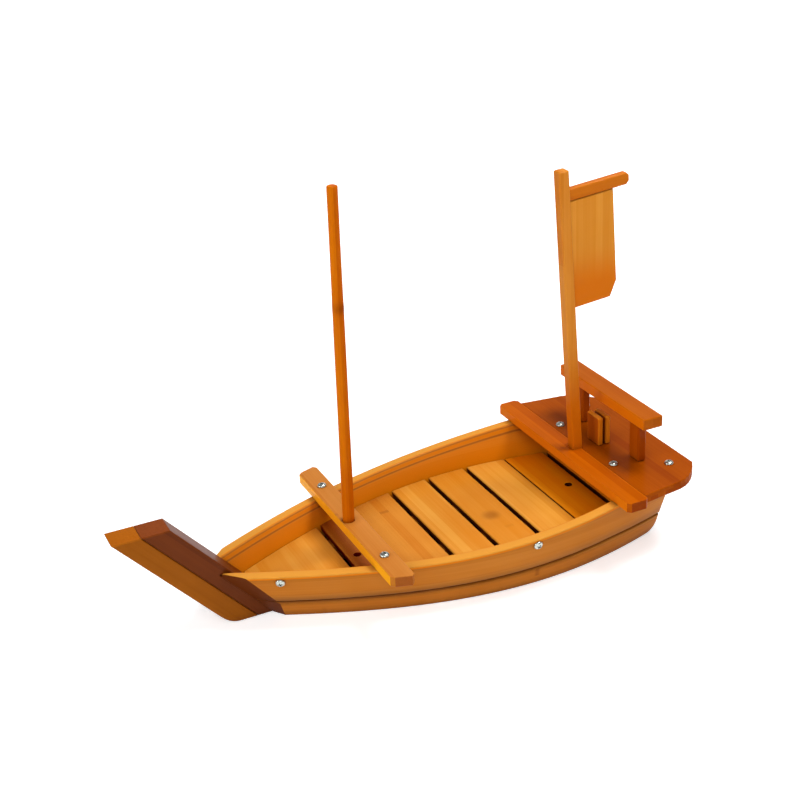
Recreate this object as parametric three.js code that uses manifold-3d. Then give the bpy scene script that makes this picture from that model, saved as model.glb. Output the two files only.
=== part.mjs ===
// Bamboo sushi boat: a flat-bottomed serving boat with a raked stem, flared plank sides, a slatted deck,
// two thwarts, a stern deck with a small gantry, and two masts that lift out of the thwarts.
// Millimetres. +X runs to the bow, +Y to port, +Z up. The underside lies on Z = 0.

import * as THREE from 'three';
import { mergeVertices } from 'three/addons/utils/BufferGeometryUtils.js';
import Module from 'manifold-3d';

const wasm = await Module();
wasm.setup();

// Fits between pieces
const fit = 0.3;            // clearance round a piece that is let in between others
const seat = 0.2;           // glue line under a piece that rests on a flat face
const ease = 0.7;           // small flat that takes the sharpness off a sawn edge

// Overall length and heights. Places towards the stern are measured from the stern deck's after edge,
// and places towards the bow from the prow tip.
const overallLength = 400;
const rimForward = 39.7;    // top of the sides from amidships to the bow
const rimAft = 48.2;        // top of the sides under the after thwart and the stern deck
const bowTipX = overallLength / 2;
const sternEdgeX = -overallLength / 2;

// Stem: two boards side by side, both leaning forward
const stemThickness = 19;
const stemTop = 81;
const stemAngle = 49.2;     // degrees up from the table
const stemFrontWidth = 19.2; // level widths of the pale front strip and the dark back board
const stemBackWidth = 19.1;
const heelRise = 7;         // the front strip's foot rounds into the underside from this height
const heelRun = 13;
const stemRun = 1 / Math.tan(THREE.MathUtils.degToRad(stemAngle));

// Thwarts
const foreThwartFromTip = 164.7;                  // prow tip to the front thwart's middle
const foreThwartX = bowTipX - foreThwartFromTip;
const foreThwartWidth = 15.2;
const foreThwartThickness = 7.4;
const foreThwartFrontHalf = 80.7;
const foreThwartBackHalf = 84.3;
const afterThwartFromEdge = 64.1;                 // stern edge to the after thwart's middle
const afterThwartX = sternEdgeX + afterThwartFromEdge;
const afterThwartWidth = 16.2;
const afterThwartThickness = 7.2;
const afterThwartHalf = 90;
const thwartCornerClip = 2.4;

// Sides: planks bent between a raked bow end and an upright stern end
const plankThickness = 8;
const plankLap = 8.5;       // reach of the plank ends past the stem's after face
const plankEndBevel = 13.5; // length of the slant that thins each plank end on to the stem
const plankEndProud = 5.8;  // outside of the plank ends, out from the stem's side
const sternOverhang = 23;   // stern deck's reach past the hull
const transomX = sternEdgeX + sternOverhang;
const transomThickness = 8;
const sternHeelRadius = 8;  // round at the foot of the hull's after end
const sternRimHalf = 67;
const sternChineHalf = 48;
const rimAfterPull = { run: 102, half: 91 };      // run: level distance from the nearer end of the curve
const rimForePull = { run: 130.7, half: 84.7 };
const chineAfterPull = { run: 94, half: 79.6 };
const chineForePull = { run: 109.1, half: 70.7 };
const sheerSetback = 15.4;  // the rim begins to rise this far aft of the front thwart's middle
const sheerStartX = foreThwartX - sheerSetback;
const seamHeight = 13.9;    // seam between the planks, where the rim is lowest
const seamGroove = 1.3;     // bevel along the seam on each plank's outside
const bottomThickness = 6;

// Deck: a bow panel, a wide board under the front thwart, and slats from there to the stern
const slatTop = 24;
const slatThickness = 4;
const slatCount = 4;
const openSlot = 3.4;
const tightSlot = 1;        // ahead of the last full slat
const foreSlotLead = 9.8;   // front thwart's middle forward to the slot behind the bow panel
const foreSlotX = foreThwartX + foreSlotLead;
const wideBoardPitch = 64.6;                      // from that slot to the next one
const midSlotX = foreSlotX - wideBoardPitch;
const afterSlotFromEdge = 51.3;                   // stern edge to the slot behind the last full slat
const afterSlotX = sternEdgeX + afterSlotFromEdge;
const deckHoleRadius = 2.8;
const foreHoleLead = 1.2;   // hole in the wide board, ahead of the front thwart's middle
const foreHoleOffset = 8.2; // and to port
const afterHoleSetback = 1.4;                     // hole in the last full slat, aft of the after thwart's middle
const afterHoleOffset = 2.8;                      // and to starboard
const bearerOffset = 22;
const bearerWidth = 9;
const slatBottom = slatTop - slatThickness;
const slatPitch = (midSlotX - afterSlotX) / slatCount;

// Stern deck
const sternDeckFrontHalf = 84;
const sternDeckBackHalf = 79.4;
const sternDeckThickness = 6.6;
const sternCornerRun = 23;  // the after corners are rounded off over this length and breadth
const sternCornerSpan = 19;
const sternCornerPull = { run: 10, span: 2.9 };   // from the square corner in to the point that pulls the curve
const beamDepth = 10;       // cross-beam and cleat under the stern deck
const beamWidth = 9;
const cleatWidth = 13;
const cleatHalf = 60;

// Gantry and the pair of small uprights on the stern deck
const gantryFromEdge = 30;
const gantryX = sternEdgeX + gantryFromEdge;
const gantryBarHalf = 55;
const gantryBarWidth = 15.8;
const gantryBarThickness = 8.5;
const gantryBarTop = 94.5;
const gantryPostOffset = 36.5;
const gantryPostWidth = 12;
const gantryPostThickness = 6;
const uprightHalf = 7.7;
const uprightHeight = 22;
const uprightThickness = 4;
const uprightLead = 11.9;   // front upright ahead of the gantry
const uprightPitch = 6.2;
const uprightFrontX = gantryX + uprightLead;
const uprightBackX = uprightFrontX - uprightPitch;

// Masts and sail. Each mast stands off its thwart's middle and leans towards the other.
const foreMastTop = 281;
const foreMastLead = 2.4;   // ahead of the front thwart's middle
const foreMastX = foreThwartX + foreMastLead;
const foreMastRake = -1.5;  // degrees forward
const foreMastFootRadius = 4.1;
const foreMastTopRadius = 3.5;
const afterMastTop = 263;
const afterMastSetback = 5.7;                     // aft of the after thwart's middle
const afterMastX = afterThwartX - afterMastSetback;
const afterMastRake = 3.05;
const afterMastSide = 7.8;
const mastLetIn = 2.5;      // depth to which sail and yard enter the after mast
const sailHeadDrop = 22.3;  // mast top down to the sail's head
const sailHeight = 76.7;
const sailHead = afterMastTop - sailHeadDrop;
const sailFoot = sailHead - sailHeight;
const sailReach = 38.2;     // mast centre to the sail's after edge
const sailThickness = 5;
const sailClipRun = 5.5;
const sailClipRise = 11;
const yardReach = 50.8;     // mast centre to the yard's after end
const yardDepth = 8.4;
const yardThickness = 5.4;
const yardClip = 2.2;
const yardPeak = 1.95;      // degrees by which yard and sail rise towards the stern, from square to the mast

// Screws
const screwHeadRadius = 3.2;
const screwHeadHeight = 2.1;
const screwShankRadius = 1.3;
const screwHoleRadius = screwShankRadius + fit;
const thwartScrewInset = 5.9;                     // from the outside of the rim
const deckFrontScrewFromEdge = 49.5;
const deckFrontScrewX = sternEdgeX + deckFrontScrewFromEdge;
const deckFrontScrewOffset = 36;
const deckBackScrewFromEdge = 15.6;
const deckBackScrewX = sternEdgeX + deckBackScrewFromEdge;
const deckBackScrewOffset = 54.6;
const deckScrewLength = 14;
const sideScrewLength = 6;
const sideScrewDrop = 5.2;  // below the rim
const sideScrewFromTip = 100;
const sideScrewLead = 71;   // waist screws ahead of the after thwart's middle
const sideScrewBowX = bowTipX - sideScrewFromTip;
const sideScrewWaistX = afterThwartX + sideScrewLead;

// Fineness of curves and of measurements
const roundSegments = 20;
const hullStations = 26;
const floorSteps = 16;
const slatSteps = 2;
const domeSteps = 4;
const searchSteps = 40;
const searchMargin = 0.1;   // how far past either end of the planks a place is looked for
const slopeProbe = 1;
const weldReach = 1e-4;

// Colours
const paleBamboo = 0xd9974a;
const caramelBamboo = 0xbf7a33;
const reddishBamboo = 0xb4682a;
const darkBamboo = 0x5e3418;
const steel = 0xd4d6d8;

function bamboo(color) {
  return new THREE.MeshStandardMaterial({ color, roughness: 0.35, metalness: 0 });
}

function polished() {
  return new THREE.MeshStandardMaterial({ color: steel, roughness: 0.15, metalness: 1 });
}

// Hull surface. A station runs from 0 at the stern to 1 at the bow, along the curves of rim and chine alike.
function stemBackAt(z) {
  return bowTipX - stemFrontWidth - stemBackWidth - (stemTop - z) * stemRun;
}

const plankEndHalf = stemThickness / 2 + plankEndProud;

function planCurve(sternHalf, afterPull, forePull, bowX) {
  return new THREE.CubicBezierCurve(
    new THREE.Vector2(transomX, sternHalf),
    new THREE.Vector2(transomX + afterPull.run, afterPull.half),
    new THREE.Vector2(bowX - forePull.run, forePull.half),
    new THREE.Vector2(bowX, plankEndHalf),
  );
}

const rimCurve = planCurve(sternRimHalf, rimAfterPull, rimForePull, stemBackAt(rimForward) + plankLap);
const chineCurve = planCurve(sternChineHalf, chineAfterPull, chineForePull, stemBackAt(0) + plankLap);

function rimHeight(station) {
  const flatX = afterThwartX + afterThwartWidth / 2;  // level from here aft, so that thwart and deck seat flat
  const climb = (sheerStartX - rimCurve.getPoint(station).x) / (sheerStartX - flatX);
  const share = THREE.MathUtils.clamp(climb, 0, 1);
  return rimForward + (rimAft - rimForward) * share * share;
}

function outerPoint(station, z) {
  const share = z / rimHeight(station);
  return chineCurve.getPoint(station).lerp(rimCurve.getPoint(station), share);
}

function stationAt(x, z) {
  let low = -searchMargin;
  let high = 1 + searchMargin;
  for (let step = 0; step < searchSteps; step += 1) {
    const middle = (low + high) / 2;
    if (outerPoint(middle, z).x < x) {
      low = middle;
    } else {
      high = middle;
    }
  }
  return (low + high) / 2;
}

// Half-breadth of the hull at a place, measured to a surface that lies `depth` inside the planks' outside.
function halfBreadth(x, z, depth) {
  const here = outerPoint(stationAt(x, z), z).y;
  const ahead = outerPoint(stationAt(x + slopeProbe, z), z).y;
  const behind = outerPoint(stationAt(x - slopeProbe, z), z).y;
  const slope = (ahead - behind) / (2 * slopeProbe);
  return here - depth * Math.hypot(1, slope);
}

function insideHalf(x, z) {
  return halfBreadth(x, z, plankThickness) - fit;
}

// Solids
function welded(geometry) {
  const bare = geometry.index ? geometry.toNonIndexed() : geometry;
  bare.deleteAttribute('normal');
  bare.deleteAttribute('uv');
  return mergeVertices(bare, weldReach);
}

function finished(geometry) {
  const loose = geometry.index ? geometry.toNonIndexed() : geometry;
  loose.computeVertexNormals();
  return loose;
}

// A closed solid through rings of equally many points, capped at both ends.
function ringSolid(rings) {
  const count = rings[0].length;
  const positions = rings.flat().flatMap((point) => [point.x, point.y, point.z]);
  const triangles = [];
  for (let ring = 0; ring + 1 < rings.length; ring += 1) {
    for (let corner = 0; corner < count; corner += 1) {
      const next = (corner + 1) % count;
      const a = ring * count + corner;
      const b = ring * count + next;
      triangles.push([a, b, b + count], [a, b + count, a + count]);
    }
  }
  const last = (rings.length - 1) * count;
  const flat = flattened(rings[0]);
  const clockwise = THREE.ShapeUtils.isClockWise(flat);
  for (const corners of THREE.ShapeUtils.triangulateShape(flat, [])) {
    const [a, b, c] = clockwise ? corners : corners.reverse();
    triangles.push([a, b, c], [last + c, last + b, last + a]);
  }
  const geometry = new THREE.BufferGeometry();
  geometry.setAttribute('position', new THREE.Float32BufferAttribute(positions, 3));
  geometry.setIndex(facingOut(positions, triangles).flat());
  return geometry;
}

// A ring seen along the axis that its points vary least on.
function flattened(ring) {
  const box = new THREE.Box3().setFromPoints(ring);
  const size = box.getSize(new THREE.Vector3());
  if (size.z < size.x && size.z < size.y) {
    return ring.map((point) => new THREE.Vector2(point.x, point.y));
  }
  return ring.map((point) => new THREE.Vector2(point.y, point.z));
}

// Triangles that agree with each other, turned over together if they enclose a negative volume.
function facingOut(positions, triangles) {
  const point = (i) => new THREE.Vector3().fromArray(positions, 3 * i);
  const volume = triangles.reduce((sum, [a, b, c]) => sum + point(a).dot(point(b).cross(point(c))), 0);
  return volume > 0 ? triangles : triangles.map(([a, b, c]) => [a, c, b]);
}

// A flat board: an outline in plan, with eased edges, standing on z = 0.
function board(outline, thickness, round = ease) {
  return new THREE.ExtrudeGeometry(outline, {
    depth: thickness - 2 * round,
    bevelEnabled: true,
    bevelThickness: round,
    bevelSize: round,
    bevelOffset: -round,
    bevelSegments: 1,
    curveSegments: roundSegments / 4,
  }).translate(0, 0, round);
}

// The same board stood on edge, its outline drawn in X and Z and its thickness centred on Y = 0.
function standingBoard(outline, thickness, round = ease) {
  return board(outline, thickness, round).rotateX(Math.PI / 2).translate(0, thickness / 2, 0);
}

function polygon(points) {
  return new THREE.Shape(points.map(([x, y]) => new THREE.Vector2(x, y)));
}

// A rectangle with its four corners clipped
function rectangle(width, height, clip) {
  const corners = [[width / 2 - clip, height / 2], [width / 2, height / 2 - clip]];
  const below = corners.map(([x, y]) => [x, -y]).reverse();
  const half = [...corners, ...below];
  return polygon([...half, ...half.map(([x, y]) => [-x, -y])]);
}

function roundHole(x, y, radius) {
  return new THREE.Path().absarc(x, y, radius, 0, 2 * Math.PI, true);
}

function bar(length, width, height) {
  return board(rectangle(length, width, ease), height);
}

function drill(radius, length) {
  return new THREE.CylinderGeometry(radius, radius, length, roundSegments).rotateX(Math.PI / 2);
}

function asManifold(geometry) {
  const solid = welded(geometry);
  return new wasm.Manifold(new wasm.Mesh({
    numProp: 3,
    vertProperties: new Float32Array(solid.attributes.position.array),
    triVerts: new Uint32Array(solid.index.array),
  }));
}

function cut(geometry, tools) {
  const body = tools.reduce((left, tool) => left.subtract(asManifold(tool)), asManifold(geometry));
  const mesh = body.getMesh();
  const result = new THREE.BufferGeometry();
  result.setAttribute('position', new THREE.Float32BufferAttribute(mesh.vertProperties, 3));
  result.setIndex(Array.from(mesh.triVerts));
  return result;
}

function mirrored(geometry) {
  const other = welded(geometry.clone()).scale(1, -1, 1);
  const corners = Array.from(other.index.array);
  other.setIndex(corners.reverse());
  return other;
}

const boat = new THREE.Group();
boat.name = 'sushi_boat';

function add(parent, name, geometry, material, place = [0, 0, 0]) {
  const mesh = new THREE.Mesh(finished(geometry), material);
  mesh.name = name;
  mesh.position.set(...place);
  parent.add(mesh);
  return mesh;
}

// A group turned by its rake, in degrees, towards the bow
function group(name, place = [0, 0, 0], rake = 0) {
  const made = new THREE.Group();
  made.name = name;
  made.position.set(...place);
  made.rotation.y = THREE.MathUtils.degToRad(rake);
  boat.add(made);
  return made;
}

// Stem
function stemFrontAt(z) {
  return bowTipX - (stemTop - z) * stemRun;
}

function leaningStrip(front, back) {
  const drop = stemTop * stemRun;
  return polygon([[front, stemTop], [back, stemTop], [back - drop, 0], [front - drop, 0]]);
}

function stemFrontOutline() {
  const back = bowTipX - stemFrontWidth + fit / 2;
  const outline = new THREE.Shape();
  outline.moveTo(bowTipX, stemTop);
  outline.lineTo(back, stemTop);
  outline.lineTo(back - stemTop * stemRun, 0);
  outline.lineTo(stemFrontAt(heelRise) - heelRun, 0);
  outline.quadraticCurveTo(stemFrontAt(0), 0, stemFrontAt(heelRise), heelRise);
  return outline;
}

function stemBackOutline() {
  const front = bowTipX - stemFrontWidth - fit / 2;
  return leaningStrip(front, front - stemBackWidth + fit / 2);
}

const hull = group('hull');
add(hull, 'stem_front_strip', standingBoard(stemFrontOutline(), stemThickness), bamboo(caramelBamboo));
add(hull, 'stem_back_board', standingBoard(stemBackOutline(), stemThickness), bamboo(darkBamboo));

// Side planks. A section is a list of heights and depths, the depths measured inwards from the outside.
function seamAt(station) {
  return seamHeight * rimHeight(station) / rimForward;
}

function upperSection(station) {
  const rim = rimHeight(station);
  const seam = seamAt(station) + fit / 2;
  return [
    [seam + seamGroove, 0],
    [rim - ease, 0],
    [rim, ease],
    [rim, plankThickness - ease],
    [rim - ease, plankThickness],
    [seam, plankThickness],
    [seam, seamGroove],
  ];
}

function lowerSection(station) {
  const seam = seamAt(station) - fit / 2;
  return [
    [ease, 0],
    [seam - seamGroove, 0],
    [seam, seamGroove],
    [seam, plankThickness],
    [0, plankThickness],
    [0, ease],
  ];
}

function plank(section) {
  const bevel = plankEndBevel / (bowTipX - transomX);
  const rings = [];
  for (let i = 0; i <= hullStations; i += 1) {
    const station = i / hullStations;
    const slant = i === hullStations ? bevel : 0;
    rings.push(section(station).map(([z, depth]) => {
      const back = slant * (1 - depth / plankThickness);
      const x = outerPoint(station - back, z).x;
      return new THREE.Vector3(x, halfBreadth(x, z, depth), z);
    }));
  }
  return ringSolid(rings);
}

function stemSeat() {
  const outline = leaningStrip(bowTipX + fit, bowTipX - stemFrontWidth - stemBackWidth - fit);
  return standingBoard(outline, stemThickness + 2 * fit, 0);
}

function sideScrewPlace(x) {
  const z = rimHeight(stationAt(x, rimForward)) - sideScrewDrop;
  const spot = new THREE.Vector3(x, halfBreadth(x, z, 0), z);
  const half = (dx, dz) => halfBreadth(x + dx, z + dz, 0);
  const along = new THREE.Vector3(2 * slopeProbe, half(slopeProbe, 0) - half(-slopeProbe, 0), 0);
  const upward = new THREE.Vector3(0, half(0, slopeProbe) - half(0, -slopeProbe), 2 * slopeProbe);
  const outward = upward.cross(along).normalize();
  return { spot, outward };
}

function sideScrewHole(x) {
  const { spot, outward } = sideScrewPlace(x);
  const tool = drill(screwHoleRadius, 2 * (sideScrewLength + fit));
  const turn = new THREE.Quaternion().setFromUnitVectors(new THREE.Vector3(0, 0, 1), outward);
  return tool.applyQuaternion(turn).translate(spot.x, spot.y, spot.z);
}

// What the round at the foot of the after end takes away, right across the boat.
function sternHeelWaste() {
  const waste = new THREE.Shape();
  waste.moveTo(transomX - sternHeelRadius, -sternHeelRadius);
  waste.lineTo(transomX + sternHeelRadius, -sternHeelRadius);
  waste.lineTo(transomX + sternHeelRadius, 0);
  waste.absarc(transomX + sternHeelRadius, sternHeelRadius, sternHeelRadius, -Math.PI / 2, -Math.PI, true);
  waste.lineTo(transomX - sternHeelRadius, sternHeelRadius);
  return standingBoard(waste, 4 * sternChineHalf, 0);
}

const thwartScrewOffset = halfBreadth(foreThwartX, rimForward, 0) - thwartScrewInset;
const thwartScrewDepth = deckScrewLength - foreThwartThickness - seat;
const thwartScrewHole = drill(screwHoleRadius, 2 * (thwartScrewDepth + fit))
  .translate(foreThwartX, thwartScrewOffset, rimForward);
const sideScrewHoles = [sideScrewBowX, sideScrewWaistX].map(sideScrewHole);
const portUpper = cut(plank(upperSection), [stemSeat(), thwartScrewHole, ...sideScrewHoles]);
const portLower = cut(plank(lowerSection), [stemSeat(), sternHeelWaste()]);
add(hull, 'port_upper_strake', portUpper, bamboo(caramelBamboo));
add(hull, 'starboard_upper_strake', mirrored(portUpper), bamboo(caramelBamboo));
add(hull, 'port_lower_strake', portLower, bamboo(caramelBamboo));
add(hull, 'starboard_lower_strake', mirrored(portLower), bamboo(caramelBamboo));

// Transom, let in between the planks
function transomRing(x) {
  const foot = insideHalf(x, 0);
  const head = insideHalf(x, rimAft);
  return [
    new THREE.Vector3(x, -foot, 0),
    new THREE.Vector3(x, foot, 0),
    new THREE.Vector3(x, head, rimAft),
    new THREE.Vector3(x, -head, rimAft),
  ];
}

const transom = ringSolid([transomRing(transomX), transomRing(transomX + transomThickness)]);
add(hull, 'transom', cut(transom, [sternHeelWaste()]), bamboo(caramelBamboo));

// One level of a floor that fills the hull between two places, its edges following the flare of the sides.
function floorRing(afterX, foreX, z, steps, inset = 0) {
  const side = [];
  for (let i = 0; i <= steps; i += 1) {
    const x = THREE.MathUtils.lerp(afterX + inset, foreX - inset, i / steps);
    side.push(new THREE.Vector3(x, insideHalf(x, z) - inset, z));
  }
  const otherSide = side.map((point) => new THREE.Vector3(point.x, -point.y, z)).reverse();
  return [...side, ...otherSide];
}

const bottomAfterX = transomX + transomThickness + fit;
add(hull, 'bottom_board', ringSolid([
  floorRing(bottomAfterX, stemBackAt(0) - fit, 0, floorSteps),
  floorRing(bottomAfterX, stemBackAt(bottomThickness) - fit, bottomThickness, floorSteps),
]), bamboo(caramelBamboo));

// Deck
const deck = group('deck');
const panelAfterX = foreSlotX + openSlot / 2;
add(deck, 'bow_panel', ringSolid([
  floorRing(panelAfterX, stemBackAt(slatBottom) - fit, slatBottom, floorSteps),
  floorRing(panelAfterX, stemBackAt(slatTop - ease) - fit, slatTop - ease, floorSteps),
  floorRing(panelAfterX, stemBackAt(slatTop) - fit, slatTop, floorSteps, ease),
]), bamboo(paleBamboo));

function slat(afterX, foreX, steps) {
  return ringSolid([
    floorRing(afterX, foreX, slatBottom, steps),
    floorRing(afterX, foreX, slatTop - ease, steps),
    floorRing(afterX, foreX, slatTop, steps, ease),
  ]);
}

function deckHole(x, y) {
  return drill(deckHoleRadius, 4 * slatThickness).translate(x, y, slatTop);
}

const wideBoard = slat(midSlotX + openSlot / 2, foreSlotX - openSlot / 2, floorSteps / 2);
const foreHole = deckHole(foreThwartX + foreHoleLead, foreHoleOffset);
add(deck, 'deck_front_board', cut(wideBoard, [foreHole]), bamboo(paleBamboo));

const afterHole = deckHole(afterThwartX - afterHoleSetback, -afterHoleOffset);
for (let i = 0; i < slatCount; i += 1) {
  const foreGap = i === slatCount - 1 ? tightSlot : openSlot;
  const afterGap = i === slatCount - 2 ? tightSlot : openSlot;
  const foreX = midSlotX - i * slatPitch - foreGap / 2;
  const afterX = midSlotX - (i + 1) * slatPitch + afterGap / 2;
  add(deck, `deck_slat_${i + 1}`, cut(slat(afterX, foreX, slatSteps), [afterHole]), bamboo(paleBamboo));
}
const sternSlat = slat(bottomAfterX, afterSlotX - openSlot / 2, slatSteps);
add(deck, 'deck_slat_aft', sternSlat, bamboo(paleBamboo));

// Bearers run as far forward as the narrowing bottom lets them.
function bearerForeX() {
  const reach = bearerOffset + bearerWidth / 2 + fit;
  let x = foreSlotX;
  while (insideHalf(x + 1, bottomThickness) > reach) {
    x += 1;
  }
  return x;
}

const bearerLength = bearerForeX() - bottomAfterX;
const bearerHeight = slatBottom - bottomThickness - 2 * seat;
const bearer = bar(bearerLength, bearerWidth, bearerHeight);
for (const [name, side] of [['port_bearer', 1], ['starboard_bearer', -1]]) {
  const place = [bottomAfterX + bearerLength / 2, side * bearerOffset, bottomThickness + seat];
  add(deck, name, bearer.clone(), bamboo(caramelBamboo), place);
}

// Thwarts: boards across the rim, a little shorter on one edge, with clipped corners
function thwartOutline(width, frontHalf, backHalf) {
  const clip = thwartCornerClip;
  const front = width / 2;
  const corners = [
    [front, frontHalf - clip],
    [front - clip, frontHalf],
    [clip - front, backHalf],
    [-front, backHalf - clip],
  ];
  const starboard = corners.map(([x, y]) => [x, -y]).reverse();
  return polygon([...corners, ...starboard]);
}

const thwarts = group('thwarts');
const foreThwart = thwartOutline(foreThwartWidth, foreThwartFrontHalf, foreThwartBackHalf);
foreThwart.holes.push(
  roundHole(0, thwartScrewOffset, screwHoleRadius),
  roundHole(0, -thwartScrewOffset, screwHoleRadius),
);
const foreThwartBottom = rimForward + seat;
const foreThwartBoard = board(foreThwart, foreThwartThickness, ease / 2)
  .translate(foreThwartX, 0, foreThwartBottom);
const foreMastHole = drill(foreMastFootRadius + fit, 4 * foreThwartThickness)
  .translate(foreMastX, 0, foreThwartBottom);
add(thwarts, 'front_thwart', cut(foreThwartBoard, [foreMastHole]), bamboo(caramelBamboo));

// The square mast's opening is a notch in the after thwart, and reaches a little into the stern deck behind it.
const deckBottom = rimAft + seat;
const mastOpeningSide = afterMastSide + 2 * fit;
const mastOpening = new THREE.BoxGeometry(mastOpeningSide, mastOpeningSide, 4 * afterThwartThickness)
  .translate(afterMastX, 0, deckBottom);
const afterThwartOutline = thwartOutline(afterThwartWidth, afterThwartHalf, afterThwartHalf);
const afterThwart = board(afterThwartOutline, afterThwartThickness, ease / 2)
  .translate(afterThwartX, 0, deckBottom);
add(thwarts, 'aft_thwart', cut(afterThwart, [mastOpening]), bamboo(reddishBamboo));

// Stern deck on its two cross-beams
const sternDeckFrontX = afterThwartX - afterThwartWidth / 2 - fit;
const cornerX = sternEdgeX + sternCornerRun;
const cornerHalf = sternDeckBackHalf - sternCornerSpan;
const pullX = sternEdgeX + sternCornerPull.run;
const pullHalf = sternDeckBackHalf - sternCornerPull.span;
const sternDeck = new THREE.Shape();
sternDeck.moveTo(sternDeckFrontX, sternDeckFrontHalf);
sternDeck.lineTo(cornerX, sternDeckBackHalf);
sternDeck.quadraticCurveTo(pullX, pullHalf, sternEdgeX, cornerHalf);
sternDeck.lineTo(sternEdgeX, -cornerHalf);
sternDeck.quadraticCurveTo(pullX, -pullHalf, cornerX, -sternDeckBackHalf);
sternDeck.lineTo(sternDeckFrontX, -sternDeckFrontHalf);
const deckScrewSpots = [
  [deckFrontScrewX, deckFrontScrewOffset],
  [deckFrontScrewX, -deckFrontScrewOffset],
  [deckBackScrewX, deckBackScrewOffset],
  [deckBackScrewX, -deckBackScrewOffset],
];
sternDeck.holes.push(...deckScrewSpots.map(([x, y]) => roundHole(x, y, screwHoleRadius)));
const stern = group('stern');
const sternDeckBoard = board(sternDeck, sternDeckThickness, ease / 2).translate(0, 0, deckBottom);
add(stern, 'stern_deck', cut(sternDeckBoard, [mastOpening]), bamboo(reddishBamboo));

const deckScrewDepth = deckScrewLength - sternDeckThickness - seat;
function deckPilots() {
  const depth = deckScrewDepth + fit;
  return deckScrewSpots.map(([x, y]) => drill(screwHoleRadius, 2 * depth).translate(x, y, rimAft));
}

function beamRing(x) {
  const foot = insideHalf(x, rimAft - beamDepth);
  const head = insideHalf(x, rimAft);
  return [
    new THREE.Vector3(x, -foot, rimAft - beamDepth),
    new THREE.Vector3(x, foot, rimAft - beamDepth),
    new THREE.Vector3(x, head, rimAft),
    new THREE.Vector3(x, -head, rimAft),
  ];
}

const beamRings = [deckFrontScrewX - beamWidth / 2, deckFrontScrewX + beamWidth / 2].map(beamRing);
add(stern, 'stern_deck_beam', cut(ringSolid(beamRings), deckPilots()), bamboo(caramelBamboo));

const cleatX = transomX - fit - cleatWidth / 2;
const cleat = bar(cleatWidth, 2 * cleatHalf, beamDepth).translate(cleatX, 0, rimAft - beamDepth);
add(stern, 'stern_deck_cleat', cut(cleat, deckPilots()), bamboo(caramelBamboo));

// Gantry
const sternDeckTop = deckBottom + sternDeckThickness;
const postHeight = gantryBarTop - gantryBarThickness - sternDeckTop - 2 * seat;
for (const [name, side] of [['gantry_post_port', 1], ['gantry_post_starboard', -1]]) {
  const post = bar(gantryPostThickness, gantryPostWidth, postHeight);
  add(stern, name, post, bamboo(caramelBamboo), [gantryX, side * gantryPostOffset, sternDeckTop + seat]);
}
add(stern, 'gantry_bar', bar(gantryBarWidth, 2 * gantryBarHalf, gantryBarThickness), bamboo(caramelBamboo),
  [gantryX, 0, gantryBarTop - gantryBarThickness]);

for (const [name, x] of [['stern_upright_front', uprightFrontX], ['stern_upright_back', uprightBackX]]) {
  const upright = bar(uprightThickness, 2 * uprightHalf, uprightHeight);
  add(stern, name, upright, bamboo(caramelBamboo), [x, 0, sternDeckTop + seat]);
}

// Front mast: a round tapered stick whose foot stands in the thwart, and leans about the thwart's mid-height
function stick(footRadius, topRadius, height) {
  const profile = [
    [0, 0],
    [footRadius - ease, 0],
    [footRadius, ease],
    [topRadius, height - ease],
    [topRadius - ease, height],
    [0, height],
  ];
  const points = profile.map(([radius, z]) => new THREE.Vector2(radius, z));
  return new THREE.LatheGeometry(points, roundSegments).rotateX(Math.PI / 2);
}

const foreMastFoot = [foreMastX, 0, foreThwartBottom + foreThwartThickness / 2];
const foreMast = group('front_mast_set', foreMastFoot, foreMastRake);
const foreMastHeight = foreMastTop - foreThwartBottom;
add(foreMast, 'front_mast', stick(foreMastFootRadius, foreMastTopRadius, foreMastHeight), bamboo(caramelBamboo),
  [0, 0, -foreThwartThickness / 2]);

// Rear mast: a square stick with the sail board and the yard let into its after face.
// Sail and yard are drawn in X and Z from the mast's centre, and rise towards the stern.
const peakRise = Math.tan(THREE.MathUtils.degToRad(yardPeak));

function sailOutline(frontX, margin) {
  const backX = -sailReach;
  const foot = (x) => sailFoot - x * peakRise - margin;
  const head = (x) => sailHead - x * peakRise + margin;
  const clipX = backX + sailClipRun;
  return polygon([
    [frontX, foot(frontX)],
    [frontX, head(frontX)],
    [backX, head(backX)],
    [backX, foot(clipX) + sailClipRise],
    [clipX, foot(clipX)],
  ]);
}

function yardOutline(frontX, margin) {
  const backX = -yardReach;
  const foot = (x) => sailHead + fit - x * peakRise - margin;
  const head = (x) => foot(x) + yardDepth + 2 * margin;
  return polygon([
    [frontX, foot(frontX)],
    [frontX, head(frontX)],
    [backX + yardClip, head(backX)],
    [backX, head(backX) - yardClip],
    [backX, foot(backX) + yardClip],
    [backX + yardClip, foot(backX)],
  ]);
}

const mastBackX = -afterMastSide / 2;
const letInX = mastBackX + mastLetIn;
const sailSlot = standingBoard(sailOutline(letInX, fit), sailThickness + 2 * fit, 0);
const yardSlot = standingBoard(yardOutline(letInX, fit), yardThickness + 2 * fit, 0);
const afterMastHeight = afterMastTop - deckBottom;
const squareStick = bar(afterMastSide, afterMastSide, afterMastHeight).translate(0, 0, deckBottom);
const pivotZ = deckBottom + afterThwartThickness / 2;
const afterMast = group('rear_mast_set', [afterMastX, 0, pivotZ], afterMastRake);
const sail = standingBoard(sailOutline(letInX - fit, 0), sailThickness);
const yard = standingBoard(yardOutline(letInX - fit, 0), yardThickness);
add(afterMast, 'rear_mast', cut(squareStick, [sailSlot, yardSlot]), bamboo(reddishBamboo), [0, 0, -pivotZ]);
add(afterMast, 'sail_board', sail, bamboo(caramelBamboo), [0, 0, -pivotZ]);
add(afterMast, 'sail_yard', yard, bamboo(caramelBamboo), [0, 0, -pivotZ]);

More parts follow.
